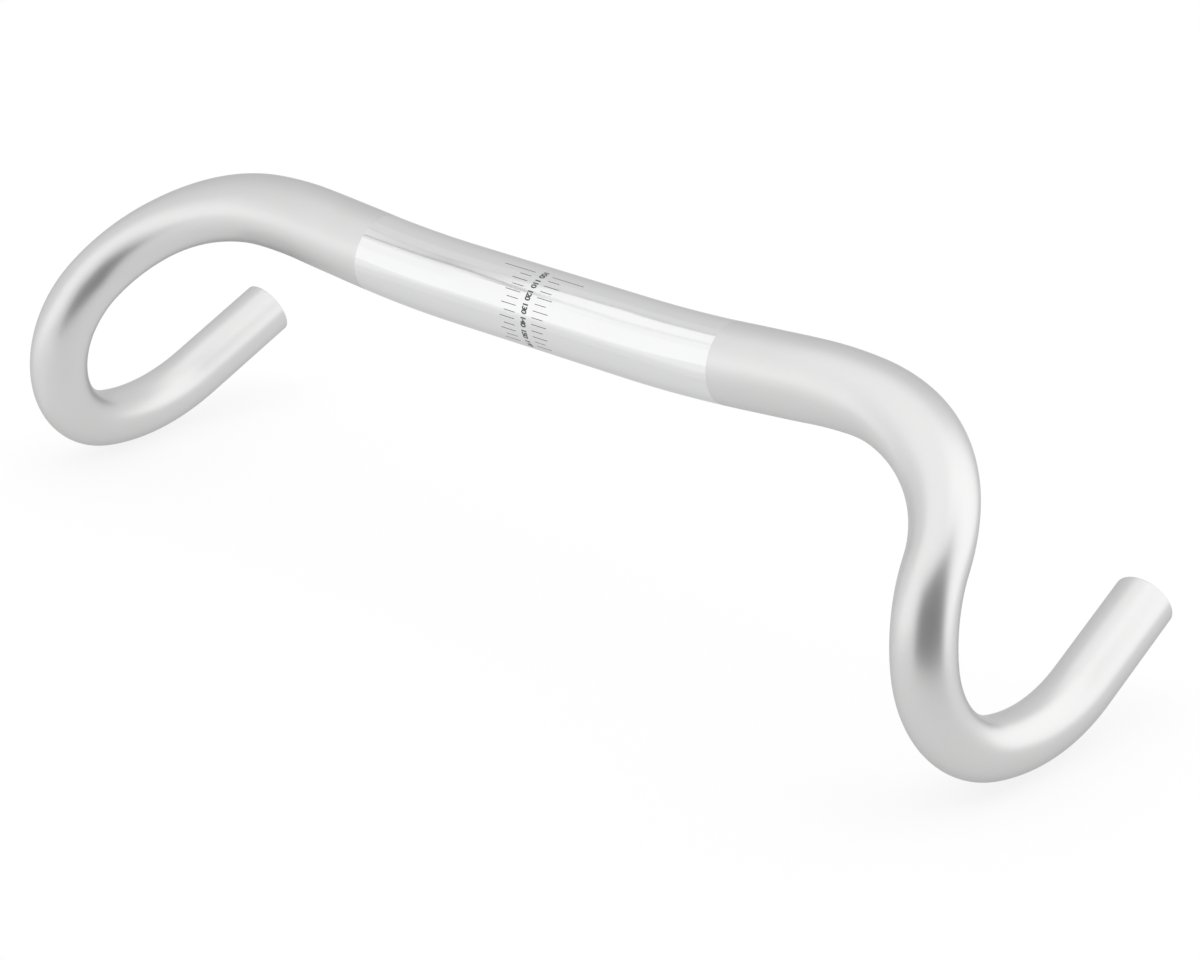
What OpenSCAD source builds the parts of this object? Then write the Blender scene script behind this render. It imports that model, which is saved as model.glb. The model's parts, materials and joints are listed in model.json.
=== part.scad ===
// Gravel drop handlebar: one aluminium tube, wide in the middle, pressed flatter over the
// shoulders and bent to two flared drops. The two halves mirror each other.
// X runs across the bar, -Y points forwards and Z points up. The origin is the middle of the
// clamp zone. Each half is a chain of straights and bends, as a tube bender makes it: every
// stretch starts where the last one ended, in its direction.

/* [Tube] */
// Outside diameter of the middle of the bar, where a stem clamps it
clamp_d = 31.8; // [26:0.1:35]
// Outside diameter of the hooks and tails, where levers clamp
grip_d = 23.8; // [22.2:0.1:25.4]
// Thickness of the wall in the middle of the bar
clamp_wall = 2.2; // [1.4:0.1:3.4]
// Thickness of the wall of the hooks and tails
grip_wall = 1.6; // [1:0.1:2.6]

/* [Top] */
// Straight length in the middle of the bar
clamp_l = 120; // [80:1:160]
// Angle by which each side of the top rises
rise_angle = 4.4; // [1:0.2:12]
// Centreline radius of the rise
rise_r = 220; // [100:5:300]
// Direction in which the top rises, from straight up towards the front
rise_turn = -12; // [-90:1:30]
// Straight length of round tube between the rise and the shoulder
top_l = 36; // [5:1:60]

/* [Shoulder] */
// Straight length over which the section starts to go flat
blend_l = 15; // [5:1:50]
// Angle of the shoulder's first, gentle bend
lead_angle = 8; // [3:0.5:20]
// Centreline radius of the shoulder's gentle bend
lead_r = 170; // [90:5:250]
// Angle of the shoulder's main bend
shoulder_angle = 72; // [50:1:90]
// Centreline radius of the shoulder's main bend
shoulder_r = 70; // [50:1:100]
// Direction in which the shoulder bends, from the direction of the rise
shoulder_turn = 143; // [90:1:180]
// Share of the shoulder's length over which its height shrinks
height_taper = 0.74; // [0.5:0.02:1]
// Share of the shoulder's length after which its width starts to shrink
width_taper = 0.43; // [0:0.01:0.6]
// Angle of the flats to the plane of the shoulder
flat_turn = -28; // [-45:1:20]

/* [Hook] */
// Angle of the hook's upper bend
hook_angle = 48; // [30:1:80]
// Centreline radius of the hook's upper bend
hook_r = 45; // [32:1:60]
// Direction in which the hook bends down from the shoulder
hook_turn = 87.5; // [60:0.5:120]
// Angle of the hook's lower bend
reach_angle = 76; // [40:1:95]
// Centreline radius of the hook's lower bend
reach_r = 40; // [32:1:70]
// Turn between the hook's two bends, which flares the drop
flare_turn = 13.5; // [0:0.5:25]

/* [Tail] */
// Angle of the long bend under the hook
drop_angle = 38; // [20:1:60]
// Centreline radius of the long bend under the hook
drop_r = 84; // [60:1:150]
// Turn of the long bend back from the flare
drop_turn = -4; // [-20:1:10]
// Straight length of the tail
tail_l = 46; // [25:1:90]

/* [Hidden] */
// Facets of a full circle where the surface is a true cylinder, cone or ring
$fn = 72;
// Each stretch starts this far inside the one before it
lap = 0.6;
// and is this much thinner, so that they meet in a clean circle
thinner = 0.02;
// At both ends of the shoulder a round tip tapers into it, and its facets come out of that tip
tip_l = 6;
tip_drop = 0.4;
facet_drop = 0.1;
// The bore runs out past both ends of the tube by this much
past_end = 4;
// Facets of the shoulder's outside, round the section and along the tube
outer_sides = 40;
outer_rings = 22;
// Facets of the shoulder's bore
inner_sides = 24;
inner_rings = 12;

clamp_r = clamp_d / 2;
grip_r = grip_d / 2;
lead_l = arc_length(lead_angle, lead_r);
shoulder_l = arc_length(shoulder_angle, shoulder_r);
sweep_l = blend_l + lead_l + shoulder_l;
// Where the shoulder's gentle bend ends, in the shoulder's own plane
lead_end = chord([0, blend_l], lead_l, lead_r, 0);

function arc_length(angle, radius) = angle * PI / 180 * radius;
function arc_angle(length, radius) = length / radius * 180 / PI;
function between(a, b, share) = a + (b - a) * share;
// Rises smoothly from 0 at the start to 1 at the end
function ease(s, start, end) =
    let (t = min(max((s - start) / (end - start), 0), 1)) t * t * (3 - 2 * t);

// The shoulder's centreline, in its own plane: how far it has turned after a length s
function heading(s) =
    s < blend_l ? 0
    : s < blend_l + lead_l ? arc_angle(s - blend_l, lead_r)
    : lead_angle + arc_angle(s - blend_l - lead_l, shoulder_r);
// and where it is, as sideways and forward distance. An arc is its chord, turned half its angle.
function chord(from, length, radius, start) =
    let (half = arc_angle(length, radius) / 2, c = 2 * radius * sin(half))
    [from[0] + c * sin(start + half), from[1] + c * cos(start + half)];
function place(s) =
    s < blend_l ? [0, s]
    : s < blend_l + lead_l ? chord([0, blend_l], s - blend_l, lead_r, 0)
    : chord(lead_end, s - blend_l - lead_l, shoulder_r, lead_angle);

// Half the height and half the width of the outside of the shoulder, after a length s.
// The height shrinks first and the width follows, which leaves the section flat in between.
function half_height(s) = between(clamp_r, grip_r, ease(s, 0, sweep_l * height_taper));
function half_width(s) = between(clamp_r, grip_r, ease(s, sweep_l * width_taper, sweep_l));

function wall_at(s) = between(clamp_wall, grip_wall, ease(s, 0, sweep_l));

// One ring of points round the shoulder's centreline. skin is 0 for the outside and 1 for the
// bore.
function ring(s, sides, skin) =
    let (p = place(s), h = heading(s), less = skin * wall_at(s) + facet_drop,
        flat = half_height(s) - less, wide = half_width(s) - less)
    [for (k = [0 : sides - 1])
        let (a = 360 * k / sides, u = wide * cos(a), v = flat * sin(a),
            across = u * cos(flat_turn) - v * sin(flat_turn),
            up = u * sin(flat_turn) + v * cos(flat_turn))
        [p[0] + across * cos(h), up, p[1] - across * sin(h)]];

// The flattened, tapered shoulder, as rings joined by a skin
module shoulder_sweep(sides, rings, skin) {
    points = [for (i = [0 : rings]) each ring(sweep_l * i / rings, sides, skin)];
    start_cap = [for (k = [0 : sides - 1]) k];
    end_cap = [for (k = [0 : sides - 1]) rings * sides + sides - 1 - k];
    skin_faces = [for (i = [0 : rings - 1], k = [0 : sides - 1])
        let (a = i * sides + k, b = i * sides + (k + 1) % sides)
        each [[a, a + sides, b + sides], [a, b + sides, b]]];
    polyhedron(points = points, faces = concat([start_cap, end_cap], skin_faces));
}

// The stretches of the chain. Each runs up its own Z axis and hands its far end to its child.
module straight(length, radius) {
    translate([0, 0, -lap]) cylinder(h = length + lap, r = radius);
    translate([0, 0, length]) children();
}

module bend(angle, bend_r, turn, radius) {
    lap_angle = arc_angle(lap, bend_r);
    rotate([0, 0, turn]) translate([bend_r, 0, 0]) {
        rotate([90, 0, 180]) rotate([0, 0, -lap_angle])
            rotate_extrude(angle = angle + lap_angle) translate([bend_r, 0]) circle(r = radius);
        rotate([0, angle, 0]) translate([-bend_r, 0, 0]) children();
    }
}

module tip(radius) {
    translate([0, 0, -lap]) cylinder(h = lap + tip_l, r1 = radius - thinner, r2 = radius - tip_drop);
}

module shoulder(skin, radius_before, radius_after) {
    end = place(sweep_l);
    rotate([0, 0, shoulder_turn]) {
        tip(radius_before);
        if (skin == 0) shoulder_sweep(outer_sides, outer_rings, skin);
        else shoulder_sweep(inner_sides, inner_rings, skin);
        translate([end[0], 0, end[1]]) rotate([0, heading(sweep_l), 0]) {
            rotate([180, 0, 0]) tip(radius_after);
            children();
        }
    }
}

// One half of the bar: its outside where skin is 0, its bore where skin is 1
module half_bar(skin) {
    wide = clamp_r - skin * clamp_wall;
    slim = grip_r - skin * grip_wall;
    rotate([0, 90, 0]) rotate([0, 0, 180])
        straight(clamp_l / 2, wide)
        bend(rise_angle, rise_r, rise_turn, wide - thinner)
        straight(top_l, wide)
        shoulder(skin, wide, slim)
        bend(hook_angle, hook_r, hook_turn, slim)
        bend(reach_angle, reach_r, flare_turn, slim - thinner)
        bend(drop_angle, drop_r, drop_turn, slim - 2 * thinner)
        straight(tail_l + skin * past_end, slim);
}

module both_halves(skin) {
    half_bar(skin);
    mirror([1, 0, 0]) half_bar(skin);
}

module handlebar() {
    color("silver") difference() {
        both_halves(0);
        both_halves(1);
    }
}

handlebar();
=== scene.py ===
"""Gravel drop handlebar: the dressed model, its printed scale, and a plain studio."""

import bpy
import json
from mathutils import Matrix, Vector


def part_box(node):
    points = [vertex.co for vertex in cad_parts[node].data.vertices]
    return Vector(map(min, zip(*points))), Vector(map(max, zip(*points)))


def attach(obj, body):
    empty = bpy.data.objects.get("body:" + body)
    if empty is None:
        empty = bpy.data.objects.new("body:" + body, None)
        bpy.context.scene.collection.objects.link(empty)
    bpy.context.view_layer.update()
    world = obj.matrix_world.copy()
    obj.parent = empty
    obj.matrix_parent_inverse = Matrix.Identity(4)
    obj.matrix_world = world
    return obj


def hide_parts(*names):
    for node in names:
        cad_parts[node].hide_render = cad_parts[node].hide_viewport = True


bl_info = {
    "name": "Gravel drop handlebar",
    "version": (1, 0, 0),
    "blender": (4, 5, 0),
    "location": "3D View > Sidebar > Handlebar",
    "description": "Bends an aluminium tube into a drop handlebar, prints its scale and lights it",
    "category": "Object",
}

import json
from math import ceil, cos, pi, radians, sin, tan

import bmesh
import bpy
from mathutils import Matrix, Vector

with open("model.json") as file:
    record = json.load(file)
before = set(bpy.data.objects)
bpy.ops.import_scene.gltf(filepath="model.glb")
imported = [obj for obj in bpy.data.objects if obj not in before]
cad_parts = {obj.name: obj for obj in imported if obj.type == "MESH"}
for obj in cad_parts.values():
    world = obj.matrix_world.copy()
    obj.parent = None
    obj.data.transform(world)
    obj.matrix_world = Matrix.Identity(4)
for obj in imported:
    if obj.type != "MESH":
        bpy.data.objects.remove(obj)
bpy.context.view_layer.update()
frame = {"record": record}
MOUNTS = {mount["name"]: mount for mount in frame["record"]["mounts"]}
CLAMP = MOUNTS["clamp_zone"]["dims"]
GRIP = MOUNTS["tail_right"]["dims"]
MM = 0.001
# Too short to see: it keeps a length inside its stretch and joins points that meet
TINY = 1e-6
# Extra rings stand this share of the rim from the edges of a cut end, which keeps them crisp
EDGE_SHARE = 0.12
# The last ring before a cut end stays this many rims away from it
RIMS_CLEAR = 3
# The bore has one ring for so many of the outside
BORE_STEP = 3
# The scale's first number, its growth from line to line, and how closely its digits are set
FIRST_NUMBER = 100
NUMBER_STEP = 5
DIGIT_SPACING = 0.84
# How fine each pattern in the materials is
GRAIN_SCALE = 2600
CLOUD_SCALE = 45
INK_SCALE = 1800
FIBRE_SCALE = 300
# How much of the paper is plain white to the camera and to reflections
SEEN_WHITE = 0.8
SENSOR_WIDTH = 36
FLOOR_REACH = 6


def length(name, description, default):
    return bpy.props.FloatProperty(name=name, description=description, default=default,
                                   subtype="DISTANCE", unit="LENGTH", precision=5)


def angle(name, description, degrees):
    return bpy.props.FloatProperty(name=name, description=description, default=radians(degrees),
                                   subtype="ANGLE", unit="ROTATION")


def share(name, description, default):
    return bpy.props.FloatProperty(name=name, description=description, default=default,
                                   min=0.0, max=1.0)


def colour(name, description, default):
    return bpy.props.FloatVectorProperty(name=name, description=description, default=default,
                                         subtype="COLOR", size=3, min=0.0, max=1.0)


def count(name, description, default):
    return bpy.props.IntProperty(name=name, description=description, default=default, min=1)


# Sizes of the bent tube. All but the soft radius, the ring step, the sides, the rim and shy are
# the ones that the solid was built from.


class BarSizes(bpy.types.PropertyGroup):
    clamp_radius: length(
        "Clamp radius", "Outside radius of the middle of the bar", CLAMP["r_mm"] * MM)
    grip_radius: length("Grip radius", "Outside radius of the hooks and tails", GRIP["r_mm"] * MM)
    clamp_wall: length("Clamp wall", "Wall thickness in the middle of the bar", 0.0022)
    grip_wall: length("Grip wall", "Wall thickness of the hooks and tails", 0.0016)
    clamp_length: length("Clamp length", "Straight length in the middle", CLAMP["length_mm"] * MM)
    rise_angle: angle("Rise angle", "Angle by which each side of the top rises", 4.4)
    rise_radius: length("Rise radius", "Centreline radius of the rise", 0.220)
    soft_radius: length(
        "Soft radius", "Radius of the rise in the smooth skin, between the same straights", 0.650)
    rise_turn: angle("Rise turn", "Direction of the rise, from straight up towards the front", -12)
    top_length: length("Top length", "Straight round tube between the rise and the shoulder", 0.036)
    blend_length: length(
        "Blend length", "Straight length over which the section starts to go flat", 0.015)
    lead_angle: angle("Lead angle", "Angle of the shoulder's first, gentle bend", 8)
    lead_radius: length("Lead radius", "Centreline radius of the gentle bend", 0.170)
    shoulder_angle: angle("Shoulder angle", "Angle of the shoulder's main bend", 72)
    shoulder_radius: length("Shoulder radius", "Centreline radius of the main bend", 0.070)
    shoulder_turn: angle("Shoulder turn", "Direction of the shoulder, from that of the rise", 143)
    height_taper: share("Height taper", "Share of the shoulder over which its height shrinks", 0.74)
    width_taper: share("Width taper", "Share of the shoulder after which its width shrinks", 0.43)
    flat_turn: angle("Flat turn", "Angle of the flats to the plane of the shoulder", -28)
    hook_angle: angle("Hook angle", "Angle of the hook's upper bend", 48)
    hook_radius: length("Hook radius", "Centreline radius of the hook's upper bend", 0.045)
    hook_turn: angle("Hook turn", "Direction in which the hook bends down", 87.5)
    reach_angle: angle("Reach angle", "Angle of the hook's lower bend", 76)
    reach_radius: length("Reach radius", "Centreline radius of the hook's lower bend", 0.040)
    flare_turn: angle("Flare turn", "Turn between the hook's two bends", 13.5)
    drop_angle: angle("Drop angle", "Angle of the long bend under the hook", 38)
    drop_radius: length("Drop radius", "Centreline radius of the long bend", 0.084)
    drop_turn: angle("Drop turn", "Turn of the long bend back from the flare", -4)
    tail_length: length("Tail length", "Straight length of the tail", GRIP["length_mm"] * MM)
    ring_step: length("Ring step", "Distance between the rings of the tube's skin", 0.0025)
    sides: count("Sides", "Points in each ring of the tube's skin", 96)
    rim: length("Rim", "Size of the broken edge at each cut end", 0.0003)
    shy: length(
        "Shy", "How far the smooth skin keeps inside the solid's facets at the shoulders", 0.00016)


class PrintSizes(bpy.types.PropertyGroup):
    lines: count("Lines", "Number of lines on each side of the numbers", 13)
    first: angle("First line", "Where the scale starts, up from the front of the tube", 77.2)
    pitch: angle("Pitch", "Angle between two lines", 9.6)
    gap: length("Gap", "From the middle of the bar to the start of the lines", 0.0043)
    long: length("Long line", "Length of each second line", 0.0075)
    short: length("Short line", "Length of the lines between them", 0.0056)
    zero: length("Zero line", "Length of the first line", 0.0156)
    width: length("Line width", "Width of a printed line", 0.00026)
    digits: length("Digit size", "Font size of the numbers", 0.0034)
    bold: length("Bold", "How much wider the strokes of the numbers are", 0.00013)
    ink: length("Ink", "Height of the ink over the metal", 0.00002)


class Finish(bpy.types.PropertyGroup):
    metal: colour("Metal", "Colour of the bead-blasted aluminium", (0.605, 0.605, 0.603))
    polish: colour("Polish", "Colour of the polished band", (0.67, 0.672, 0.672))
    ink: colour("Ink", "Colour of the printed lines and numbers", (0.05, 0.052, 0.055))
    band: length("Band", "Half the length of the polished band", 0.0892)


class StageSettings(bpy.types.PropertyGroup):
    azimuth: angle("Azimuth", "Camera's angle round the bar", 40.92)
    elevation: angle("Elevation", "Camera's angle above the floor", 23.63)
    distance: length("Distance", "From the camera to the plane of the bar's middle", 1.424057)
    right: length("Right", "How far right of the bar's middle the camera looks", 0.018913)
    below: length("Below", "How far below the bar's middle the camera looks", 0.064790)
    lens: bpy.props.FloatProperty(name="Lens", description="Focal length of the camera",
                                  default=111.752, subtype="DISTANCE_CAMERA", unit="CAMERA")


# Node trees, written as Python expressions


class Socket:
    """One output socket. Arithmetic on it adds Math nodes to its tree."""

    def __init__(self, tree, socket):
        self.tree, self.socket = tree, socket

    def math(self, operation, *values):
        return self.tree.add("ShaderNodeMath", {"operation": operation}, values)

    def __add__(self, other):
        return self.math("ADD", self, other)

    def __radd__(self, other):
        return self.math("ADD", other, self)

    def __sub__(self, other):
        return self.math("SUBTRACT", self, other)

    def __rsub__(self, other):
        return self.math("SUBTRACT", other, self)

    def __mul__(self, other):
        return self.math("MULTIPLY", self, other)

    def __rmul__(self, other):
        return self.math("MULTIPLY", other, self)

    def __truediv__(self, other):
        return self.math("DIVIDE", self, other)

    def __rtruediv__(self, other):
        return self.math("DIVIDE", other, self)

    def __mod__(self, other):
        return self.math("MODULO", self, other)

    def above(self, other):
        return self.math("GREATER_THAN", self, other)

    def below(self, other):
        return self.math("LESS_THAN", self, other)

    def floor(self):
        return self.math("FLOOR", self)

    def cos(self):
        return self.math("COSINE", self)

    def sin(self):
        return self.math("SINE", self)

    def __getitem__(self, name):
        return Socket(self.tree, self.socket.node.outputs[name])


class Tree:
    """A node tree and the one method that adds a node to it."""

    def __init__(self, tree):
        self.nodes, self.links = tree.nodes, tree.links
        self.nodes.clear()

    def feed(self, target, value):
        if isinstance(value, Socket):
            self.links.new(value.socket, target)
        else:
            target.default_value = value

    def add(self, kind, settings=None, values=None):
        node = self.nodes.new(kind)
        for name, value in (settings or {}).items():
            setattr(node, name, value)
        pairs = values.items() if isinstance(values, dict) else enumerate(values or [])
        for key, value in pairs:
            self.feed(node.inputs[key], value)
        shown = [socket for socket in node.outputs if socket.enabled]
        return Socket(self, shown[0]) if shown else node


class Material(Tree):
    """A material, its shaders and the patterns they use."""

    def __init__(self, name):
        self.data = bpy.data.materials.new(name)
        self.data.use_nodes = True
        super().__init__(self.data.node_tree)

    def principled(self, **sockets):
        values = {name.replace("_", " "): value for name, value in sockets.items()}
        return self.add("ShaderNodeBsdfPrincipled", values=values)

    def emission(self, strength):
        return self.add("ShaderNodeEmission", values={"Color": (1, 1, 1, 1), "Strength": strength})

    def surface(self, shader):
        """Ends the tree with a shader and returns the material."""
        self.add("ShaderNodeOutputMaterial", values={"Surface": shader})
        return self.data

    def attribute(self, name):
        return self.add("ShaderNodeAttribute", {"attribute_name": name})["Fac"]

    def mix(self, share, first, second):
        """Mixes two colours. The sockets 6, 7 and 2 of the node are the ones for colours."""
        node = self.add("ShaderNodeMix", {"data_type": "RGBA"}, {"Factor": share}).socket.node
        for key, colour_in in ((6, first), (7, second)):
            opaque = (*colour_in, 1) if isinstance(colour_in, tuple) else colour_in
            self.feed(node.inputs[key], opaque)
        return Socket(self, node.outputs[2])

    def noise(self, scale, detail=2.0, rough=0.5):
        place = self.add("ShaderNodeTexCoord")["Object"]
        values = {"Vector": place, "Scale": scale, "Detail": detail, "Roughness": rough}
        return self.add("ShaderNodeTexNoise", values=values)["Fac"]


def label(key):
    return key.replace("_", " ").capitalize()


def new_object(name, data):
    """An object in the scene's own collection."""
    made = bpy.data.objects.new(name, data)
    bpy.context.scene.collection.objects.link(made)
    return made


def finished_mesh(holder):
    """An object's mesh after its modifiers, or after its text is set."""
    graph = bpy.context.evaluated_depsgraph_get()
    return bpy.data.meshes.new_from_object(holder.evaluated_get(graph))


class Modifier(Tree):
    """A Geometry Nodes tree, run once on a source object."""

    def __init__(self, name, **inputs):
        self.group = bpy.data.node_groups.new(name, "GeometryNodeTree")
        kinds = {float: "NodeSocketFloat", int: "NodeSocketInt",
                 bpy.types.Material: "NodeSocketMaterial"}
        face = self.group.interface
        face.new_socket("Geometry", in_out="INPUT", socket_type="NodeSocketGeometry")
        self.given = {}
        for key, value in inputs.items():
            kind = next(k for t, k in kinds.items() if isinstance(value, t))
            socket = face.new_socket(label(key), in_out="INPUT", socket_type=kind)
            self.given[socket.identifier] = value
        face.new_socket("Geometry", in_out="OUTPUT", socket_type="NodeSocketGeometry")
        super().__init__(self.group)
        self.inputs = self.nodes.new("NodeGroupInput")

    def input(self, key):
        return Socket(self, self.inputs.outputs[label(key)])

    def vector(self, x, y, z):
        return self.add("ShaderNodeCombineXYZ", values=[x, y, z])

    def run(self, geometry, source, name):
        """Ends the tree, runs it on the source mesh and returns a plain mesh object."""
        real = self.add("GeometryNodeRealizeInstances", values={"Geometry": geometry})
        painted = self.add("GeometryNodeSetMaterial",
                           values={"Geometry": real, "Material": self.input("material")})
        end = self.nodes.new("NodeGroupOutput")
        self.links.new(painted.socket, end.inputs[0])
        holder = new_object(name + "_source", source)
        modifier = holder.modifiers.new(name, "NODES")
        modifier.node_group = self.group
        for identifier, value in self.given.items():
            modifier[identifier] = value
        mesh = finished_mesh(holder)
        holder.modifiers.remove(modifier)
        bpy.data.objects.remove(holder)
        return new_object(name, mesh)


# The bent tube


def ease(place, start, end):
    share = min(max((place - start) / (end - start), 0.0), 1.0)
    return share * share * (3 - 2 * share)


def between(first, last, share):
    return first + (last - first) * share


class TubePath:
    """The centreline of one half of the bar, as the straights and bends of a tube bender."""

    def __init__(self, s):
        self.sizes = s
        softer = (s.soft_radius - s.rise_radius) * tan(s.rise_angle / 2)
        self.stretches = [
            (s.clamp_length / 2 - softer, None, 0),
            (s.rise_angle * s.soft_radius, s.soft_radius, s.rise_turn),
            (s.top_length + s.blend_length - softer, None, 0),
            (s.lead_angle * s.lead_radius, s.lead_radius, s.shoulder_turn),
            (s.shoulder_angle * s.shoulder_radius, s.shoulder_radius, 0),
            (s.hook_angle * s.hook_radius, s.hook_radius, s.hook_turn),
            (s.reach_angle * s.reach_radius, s.reach_radius, s.flare_turn),
            (s.drop_angle * s.drop_radius, s.drop_radius, s.drop_turn),
            (s.tail_length, None, 0),
        ]
        self.length = sum(stretch[0] for stretch in self.stretches)
        self.shoulder_start = sum(stretch[0] for stretch in self.stretches[:3]) - s.blend_length
        self.shoulder_length = s.blend_length + sum(stretch[0] for stretch in self.stretches[3:5])

    def at(self, far):
        """Where the centreline is after a length, with its direction and the side it bends to."""
        place, ahead, side = Vector((0, 0, 0)), Vector((1, 0, 0)), Vector((0, 0, 1))
        for run, radius, turn in self.stretches:
            side = Matrix.Rotation(turn, 3, ahead) @ side
            step = min(far, run)
            if radius is None:
                place = place + ahead * step
            else:
                bent = step / radius
                place = place + ahead * radius * sin(bent) + side * radius * (1 - cos(bent))
                ahead, side = (ahead * cos(bent) + side * sin(bent),
                               side * cos(bent) - ahead * sin(bent))
            far -= step
            if far <= 0:
                break
        return place, ahead, side

    def section(self, far):
        """Half the width and half the height of the outside, and the wall."""
        s, along, whole = self.sizes, far - self.shoulder_start, self.shoulder_length
        width = between(s.clamp_radius, s.grip_radius, ease(along, whole * s.width_taper, whole))
        height = between(s.clamp_radius, s.grip_radius, ease(along, 0, whole * s.height_taper))
        after = ease(along, whole, whole + s.blend_length)
        shoulder = ease(along, -s.blend_length, 0) * (1 - after)
        shy = s.shy * ease(far, s.clamp_length / 2, self.shoulder_start) * (0.5 + 0.5 * shoulder)
        return width - shy, height - shy, between(s.clamp_wall, s.grip_wall, ease(along, 0, whole))

    def flats(self, far):
        """The directions across and up of the flattened section."""
        _, ahead, _ = self.at(far)
        start = self.shoulder_start + self.sizes.blend_length + TINY
        end = self.shoulder_start + self.shoulder_length - TINY
        _, _, side = self.at(min(max(far, start), end))
        side = (side - ahead * side.dot(ahead)).normalized()
        up, turn = ahead.cross(side), self.sizes.flat_turn
        return side * cos(turn) + up * sin(turn), up * cos(turn) - side * sin(turn)


def tube_rings(path):
    """The rings of the tube's skin: out along the outside, round the rim and back inside.

    Each ring has its side of the bar, its length along it, and how far it is cut in from the
    outside, or None where it lies on the bore.
    """
    sizes, end = path.sizes, path.length
    rim, edge = sizes.rim, sizes.rim * EDGE_SHARE
    steps = ceil(end / sizes.ring_step)
    half = [end * i / steps for i in range(steps)]
    half = [far for far in half if far < end - rim * RIMS_CLEAR]
    outside = [(far, 0.0) for far in half] + [(end - rim - edge, 0.0)]
    corner = [(end - rim * (1 - sin(a)), rim * (1 - cos(a))) for a in (0, pi / 6, pi / 3, pi / 2)]
    face = [(end, rim + edge), (end, None)]
    bore = [(end - edge, None)] + [(far, None) for far in half[::BORE_STEP]][::-1]
    trip = outside + corner + face + bore
    right, left = ([(side, far, cut) for far, cut in trip] for side in (1, -1))
    return right + left[::-1]


def sweep_source(sizes):
    """A mesh of one point per ring, whose attributes hold the ring's section."""
    path = TubePath(sizes)
    points, across, up, along, inside = [], [], [], [], []
    for side, far, cut in tube_rings(path):
        place, _, _ = path.at(far)
        first, second = path.flats(far)
        width, height, wall = path.section(far)
        less = wall if cut is None else cut
        flip = Vector((side, 1, 1))
        points.append(place * flip)
        across.append(first * flip * (width - less))
        up.append(second * flip * (height - less))
        along.append(far)
        inside.append(float(cut is None))
    mesh = bpy.data.meshes.new("tube_path")
    mesh.from_pydata(points, [], [])
    for name, values in (("across", across), ("up", up)):
        flat = [number for vector in values for number in vector]
        mesh.attributes.new(name, "FLOAT_VECTOR", "POINT").data.foreach_set("vector", flat)
    for name, values in (("along", along), ("inside", inside)):
        mesh.attributes.new(name, "FLOAT", "POINT").data.foreach_set("value", values)
    return mesh


def sweep_tree(sizes, material):
    """A skin over rings of points: each grid row takes its section from one point of the source."""
    tree = Modifier("Swept tube", sides=sizes.sides, material=material)
    source = Socket(tree, tree.inputs.outputs["Geometry"])
    counts = tree.add("GeometryNodeAttributeDomainSize", {"component": "MESH"},
                      {"Geometry": source})
    rings, sides = counts["Point Count"], tree.input("sides")
    grid = tree.add("GeometryNodeMeshGrid",
                    values={"Vertices X": rings + 1, "Vertices Y": sides + 1})
    index = tree.add("GeometryNodeInputIndex")
    row = (index / (sides + 1)).floor()
    column = index - row * (sides + 1)
    wrapped = row % rings

    def sample(field, kind):
        return tree.add("GeometryNodeSampleIndex", {"data_type": kind},
                        {"Geometry": source, "Value": field, "Index": wrapped})

    def stored(name, kind):
        field = tree.add("GeometryNodeInputNamedAttribute", {"data_type": kind}, {"Name": name})
        return sample(field, kind)

    def keep(geometry, name, kind, domain, value):
        return tree.add("GeometryNodeStoreNamedAttribute", {"data_type": kind, "domain": domain},
                        {"Geometry": geometry, "Name": name, "Value": value})

    round_angle = column / sides * (-2 * pi)
    place = sample(tree.add("GeometryNodeInputPosition"), "FLOAT_VECTOR")
    for name, amount in (("across", round_angle.cos()), ("up", round_angle.sin())):
        part = tree.add("ShaderNodeVectorMath", {"operation": "SCALE"},
                        {"Vector": stored(name, "FLOAT_VECTOR"), "Scale": amount})
        place = tree.add("ShaderNodeVectorMath", {"operation": "ADD"}, [place, part])
    skin = tree.add("GeometryNodeSetPosition",
                    values={"Geometry": grid["Mesh"], "Position": place})
    for name in ("along", "inside"):
        skin = keep(skin, name, "FLOAT", "POINT", stored(name, "FLOAT"))
    chart = tree.vector(row / rings, column / sides, 0.0)
    skin = keep(skin, "UVMap", "FLOAT2", "CORNER", chart)
    skin = tree.add("GeometryNodeMergeByDistance", values={"Geometry": skin, "Distance": TINY})
    return tree, tree.add("GeometryNodeSetShadeSmooth", values={"Geometry": skin})


def aluminium(finish):
    """Bead-blasted aluminium with a polished band round its middle and a drawn bore."""
    m = Material("blasted_and_polished_aluminium")
    along, inside = m.attribute("along"), m.attribute("inside")
    blasted = along.above(finish.band)
    grain, cloud = m.noise(GRAIN_SCALE, 3.0, 0.6), m.noise(CLOUD_SCALE, 2.0)
    bore_tone, pale_tone = (0.45, 0.45, 0.46), (0.9, 0.9, 0.9)
    tone = m.mix(blasted, tuple(finish.polish), tuple(finish.metal))
    tone = m.mix(inside * 0.5, tone, bore_tone)
    paler = (grain - 0.5) * 0.10 * blasted + (cloud - 0.5) * 0.05 + 0.04
    tone = m.mix(paler, tone, pale_tone)
    rough = blasted * 0.25 + 0.10 + (cloud - 0.5) * 0.03
    rough = rough + (grain - 0.5) * 0.06 * blasted + inside * 0.1
    bump = m.add("ShaderNodeBump", values={"Strength": 0.25, "Distance": 0.00003,
                                           "Height": grain * blasted + cloud * 0.2})
    return m.surface(m.principled(Base_Color=tone, Metallic=1.0, Roughness=rough, Normal=bump,
                                  Specular_Tint=(0.72, 0.72, 0.72, 1)))


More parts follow.
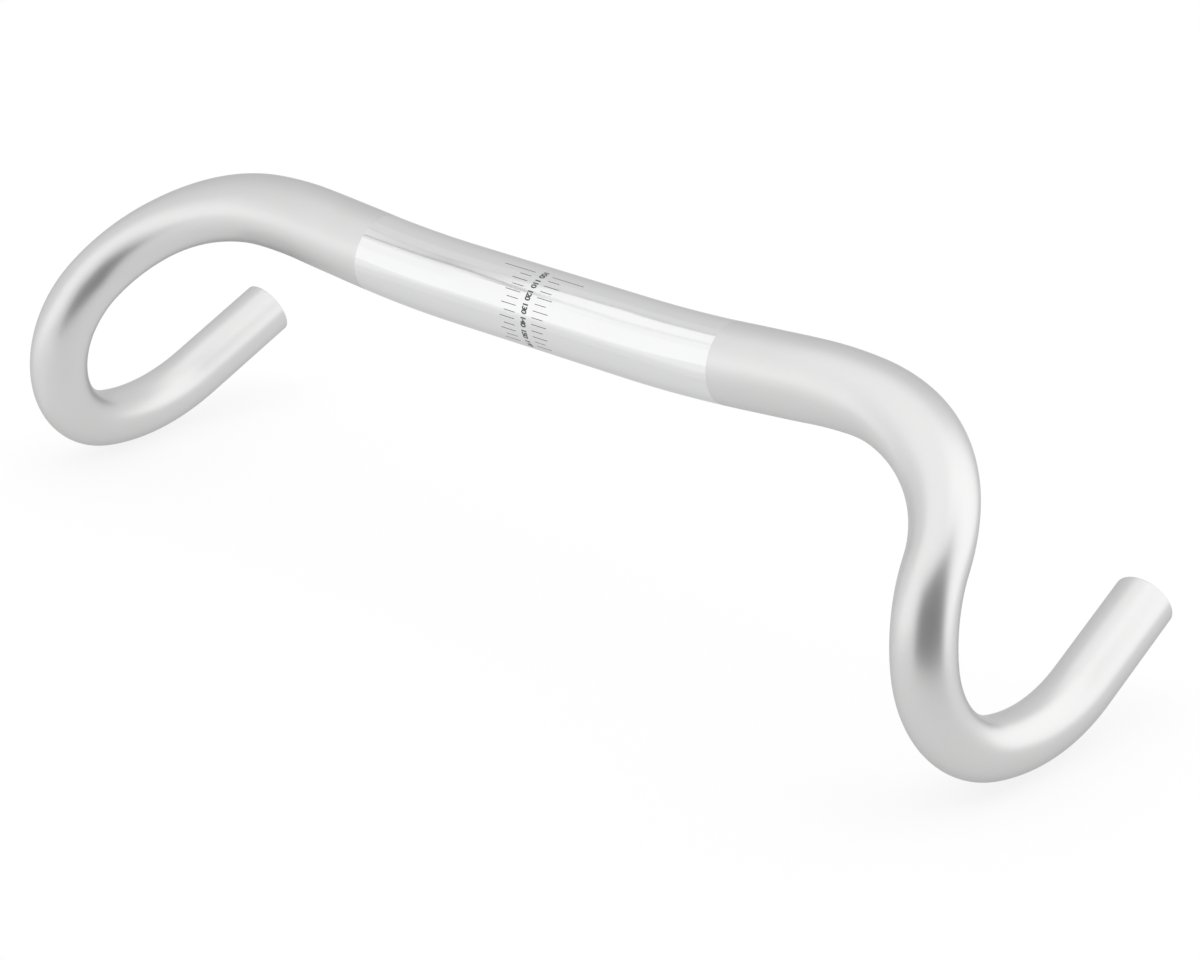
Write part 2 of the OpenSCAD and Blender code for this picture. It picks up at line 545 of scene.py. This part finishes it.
def printing_ink(finish):
    """Thin dark ink, a little uneven where it was screened on."""
    m = Material("printed_ink")
    patch, worn_tone = m.noise(INK_SCALE, 2.0), (0.16, 0.165, 0.17)
    tone = m.mix(patch * 0.35, tuple(finish.ink), worn_tone)
    return m.surface(m.principled(Base_Color=tone, Metallic=0.0, Roughness=patch * 0.2 + 0.4))


def dress(piece):
    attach(piece, "root")


class BAR_OT_tube(bpy.types.Operator):
    """Sweep the tapered, flattened tube along its bends"""

    bl_idname = "handlebar.tube"
    bl_label = "Bent tube"

    def execute(self, context):
        sizes, finish = context.scene.bar_sizes, context.scene.bar_finish
        tree, skin = sweep_tree(sizes, aluminium(finish))
        piece = tree.run(skin, sweep_source(sizes), "bent_tube")
        dress(piece)
        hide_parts("handlebar")
        return {"FINISHED"}


# The printed scale round the middle


def lines_tree(scale, radius, material):
    """Thin blocks of ink round the tube, in two mirrored columns."""
    tree = Modifier("Printed lines", lines=scale.lines, first=scale.first, pitch=scale.pitch,
                    gap=scale.gap, long_line=scale.long, short_line=scale.short,
                    zero_line=scale.zero, width=scale.width, ink=scale.ink, radius=radius,
                    material=material)
    index = tree.add("GeometryNodeInputIndex")
    odd = index % 2
    base = tree.input("long_line") - odd * (tree.input("long_line") - tree.input("short_line"))
    reach = base + index.below(0.5) * (tree.input("zero_line") - tree.input("long_line"))
    turn = tree.input("first") - index * tree.input("pitch")
    halves = []
    for side in (-1, 1):
        points = tree.add("GeometryNodePoints", values={"Count": tree.input("lines")})
        place = tree.vector((tree.input("gap") + reach / 2) * side,
                            turn.cos() * tree.input("radius") * -1,
                            turn.sin() * tree.input("radius"))
        points = tree.add("GeometryNodeSetPosition", values={"Geometry": points, "Position": place})
        block = tree.add("GeometryNodeMeshCube", values={"Size": (1, 1, 1)})["Mesh"]
        size = tree.vector(reach, tree.input("ink") * 2, tree.input("width"))
        halves.append(tree.add("GeometryNodeInstanceOnPoints", values={
            "Points": points, "Instance": block, "Rotation": tree.vector(turn * -1, 0.0, 0.0),
            "Scale": size}))
    join = tree.nodes.new("GeometryNodeJoinGeometry")
    for half in halves:
        tree.links.new(half.socket, join.inputs[0])
    return tree, Socket(tree, join.outputs[0])


def number_mesh(text, scale, radius, turn):
    """A number as thin ink, wrapped on the tube so that it reads round it."""
    curve = bpy.data.curves.new("number", "FONT")
    curve.body, curve.size = text, scale.digits
    curve.align_x, curve.align_y = "CENTER", "CENTER"
    curve.extrude, curve.offset, curve.space_character = scale.ink, scale.bold, DIGIT_SPACING
    holder = new_object("number", curve)
    mesh = finished_mesh(holder)
    bpy.data.objects.remove(holder)
    for vertex in mesh.vertices:
        x, y, z = vertex.co
        at = turn - x / radius
        out = radius + z
        vertex.co = (y, -out * cos(at), out * sin(at))
    return mesh


class BAR_OT_print(bpy.types.Operator):
    """Print the lines and plain numbers that show how far the bar is turned in its stem"""

    bl_idname = "handlebar.print"
    bl_label = "Printed scale"

    def execute(self, context):
        scale, radius = context.scene.bar_print, context.scene.bar_sizes.clamp_radius
        ink = printing_ink(context.scene.bar_finish)
        tree, lines = lines_tree(scale, radius, ink)
        dress(tree.run(lines, bpy.data.meshes.new("lines_seed"), "scale_lines"))
        numbers = bmesh.new()
        for i in range(0, scale.lines, 2):
            text, turn = str(FIRST_NUMBER + NUMBER_STEP * i), scale.first - i * scale.pitch
            numbers.from_mesh(number_mesh(text, scale, radius, turn))
        bmesh.ops.recalc_face_normals(numbers, faces=numbers.faces)
        mesh = bpy.data.meshes.new("scale_numbers")
        numbers.to_mesh(mesh)
        numbers.free()
        mesh.materials.append(ink)
        dress(new_object("scale_numbers", mesh))
        return {"FINISHED"}


# The studio


def camera(scene, s):
    level = cos(s.elevation)
    ahead = Vector((-sin(s.azimuth) * level, cos(s.azimuth) * level, -sin(s.elevation)))
    right = Vector((cos(s.azimuth), sin(s.azimuth), 0))
    down = ahead.cross(right)
    data = bpy.data.cameras.new("camera")
    data.lens, data.sensor_width, data.sensor_fit = s.lens, SENSOR_WIDTH, "HORIZONTAL"
    data.clip_start, data.clip_end = 0.05, 20
    eye = new_object("camera", data)
    eye.location = right * s.right + down * s.below - ahead * s.distance
    eye.rotation_euler = Matrix((right, -down, -ahead)).transposed().to_euler()
    scene.camera = eye


def facing(azimuth, elevation):
    """A direction in degrees: azimuth 0 is forwards, towards -Y, and 90 is towards +X."""
    a, e = radians(azimuth), radians(elevation)
    return Vector((sin(a) * cos(e), -cos(a) * cos(e), sin(e)))


def hang(name, middle, distance, corners, material, lights):
    """A flat panel that reflections show and the camera doesn't, and its light where it lights."""
    look = facing(*middle)
    rays = [facing(*corner) for corner in corners]
    mesh = bpy.data.meshes.new(name)
    mesh.from_pydata([ray * (distance / ray.dot(look)) for ray in rays], [], [range(len(rays))])
    mesh.materials.append(material)
    panel = new_object(name, mesh)
    panel.visible_camera = False
    panel.visible_diffuse = panel.visible_shadow = lights


def seen_rays(tree):
    """1 for what the camera sees, also in a reflection, and 0 for light on its way to a surface."""
    path = tree.add("ShaderNodeLightPath")
    seen = path["Is Camera Ray"] + path["Is Glossy Ray"] + path["Is Transmission Ray"]
    return seen.math("MINIMUM", seen, 1.0)


def white_paper():
    """Pale paper, nearly white to the camera and to the metal, that keeps the bar's shadow."""
    m = Material("white_paper")
    tone = m.mix(m.noise(FIBRE_SCALE, 3.0) * 0.5, (0.93, 0.93, 0.93), (0.95, 0.95, 0.95))
    paper = m.principled(Base_Color=tone, Roughness=0.9)
    return m.surface(m.add("ShaderNodeMixShader", values={
        0: seen_rays(m) * SEEN_WHITE, 1: paper, 2: m.emission(1.0)}))


def glow(name, strength):
    m = Material(name)
    return m.surface(m.emission(strength))


# Each panel's name, middle direction, distance, corner directions and strength. Directions are
# from the bar, in degrees. The two seams and the gap are dark, for the lines that the metal shows.
PANELS = (
    ("front_panel", (-45, 0), 1.4, (
        (-64, -12), (-42.5, -12), (-38, -5.8), (-35.2, -4.8), (-33.6, -2), (-15, 5), (0, 15),
        (2, 60), (-72, 60), (-66, 46), (-62.7, 43.1), (-59.2, 39.4), (-54.8, 35.6), (-50.2, 29.6),
        (-46.8, 22), (-50, 13)), 1.38),
    ("top_panel", (0, 90), 1.1, (
        (-58, 45), (-66, 46.5), (-70, 48), (-75, 49.5), (-84, 51.8), (-90, 53.8), (-100, 54.9),
        (-125, 56), (-170, 55), (150, 45), (60, 38), (0, 50), (-40, 50)), 1.38),
    ("side_panel", (124, 10), 0.6, (
        (99, -18), (156, -18), (164, 66), (78, 66), (92, 52), (99, 38)), 1.58),
    ("back_panel", (-140, 10), 1.6, (
        (-178, -12), (-100, -12), (-100, 42), (-178, 42)), 0.94),
    ("camera_gap", (56, 14), 1.1, (
        (12, -18), (92, -18), (98, 4), (98, 36), (84, 50), (48, 50), (20, 38)), 0.3),
    ("top_seam", (0, 90), 1.09, (
        (-54, 38.4), (-59.3, 42.3), (-71, 44.8), (-83, 48.6), (-87, 53.1), (-100, 54.4),
        (-100, 55), (-87, 53.7), (-83, 49), (-71, 45.6), (-59.3, 43.5), (-54, 40)), 0.3),
    ("wall_seam", (-45, 0), 1.38, (
        (-44.2, 30.7), (-48.7, 39.5), (-58.6, 44.8), (-58.6, 45.2), (-48.7, 40), (-44.2, 31.2)), 0.7),
)

# Where the far floor looks brighter in the polished band: sheets just over the floor, which only
# reflections show and which throw no light or shadow on it
FLOOR_GLOWS = (
    ("floor_glow_near", (0, -90), 0.112, (
        (-75, -2), (-75, -24), (-61.6, -22.6), (-52.2, -20.5), (-41, -23.2), (-25.7, -28.4),
        (-10.9, -38.1), (-8, -2)), 1.06),
    ("floor_glow_middle", (0, -90), 0.1115, (
        (-75, -2), (-75, -18), (-54, -16.7), (-46.5, -12.8), (-38.9, -13.1), (-29.7, -15.8),
        (-19.6, -24.4), (-12, -2)), 1.12),
    ("floor_glow_far", (0, -90), 0.111, (
        (-75, -2), (-70, -14), (-51, -13.6), (-44.4, -9), (-38.6, -8.6), (-31.9, -10.6),
        (-23.3, -18.6), (-16, -2)), 1.22),
)


class BAR_OT_stage(bpy.types.Operator):
    """Set up the camera, the pale floor and the soft panels"""

    bl_idname = "handlebar.stage"
    bl_label = "Studio"

    def execute(self, context):
        scene = context.scene
        camera(scene, scene.bar_stage)
        scene.view_settings.view_transform = "Standard"
        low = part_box("handlebar")[0][2]
        mesh, far = bpy.data.meshes.new("floor"), FLOOR_REACH
        corners = [(-far, -far, low), (far, -far, low), (far, far, low), (-far, far, low)]
        mesh.from_pydata(corners, [], [(0, 1, 2, 3)])
        mesh.materials.append(white_paper())
        new_object("floor", mesh)
        world = bpy.data.worlds.new("studio")
        scene.world = world
        world.use_nodes = True
        tree = Tree(world.node_tree)
        sky = tree.add("ShaderNodeBackground", values={"Color": (1, 1, 1, 1), "Strength": 1.0})
        tree.add("ShaderNodeOutputWorld", values={"Surface": sky})
        for panel in PANELS + FLOOR_GLOWS:
            name, middle, distance, corners, strength = panel
            light = glow(name + "_light", strength)
            hang(name, middle, distance, corners, light, lights=panel in PANELS)
        return {"FINISHED"}


class BAR_PT_panel(bpy.types.Panel):
    bl_idname = "BAR_PT_panel"
    bl_label = "Handlebar"
    bl_space_type = "VIEW_3D"
    bl_region_type = "UI"
    bl_category = "Handlebar"

    def draw(self, context):
        for operator in OPERATORS:
            self.layout.operator(operator.bl_idname)
        for name in GROUPS:
            group = getattr(context.scene, name)
            for key in group.bl_rna.properties.keys():
                if key not in ("rna_type", "name"):
                    self.layout.prop(group, key)


GROUPS = {
    "bar_sizes": BarSizes,
    "bar_print": PrintSizes,
    "bar_finish": Finish,
    "bar_stage": StageSettings,
}
OPERATORS = (BAR_OT_tube, BAR_OT_print, BAR_OT_stage)


def register():
    for kind in (*GROUPS.values(), *OPERATORS, BAR_PT_panel):
        bpy.utils.register_class(kind)
    for name, kind in GROUPS.items():
        setattr(bpy.types.Scene, name, bpy.props.PointerProperty(type=kind))


def unregister():
    for name in GROUPS:
        delattr(bpy.types.Scene, name)
    for kind in reversed((*GROUPS.values(), *OPERATORS, BAR_PT_panel)):
        bpy.utils.unregister_class(kind)


def main():
    register()
    bpy.ops.handlebar.tube()
    bpy.ops.handlebar.print()
    bpy.ops.handlebar.stage()


if __name__ == "__main__":
    main()
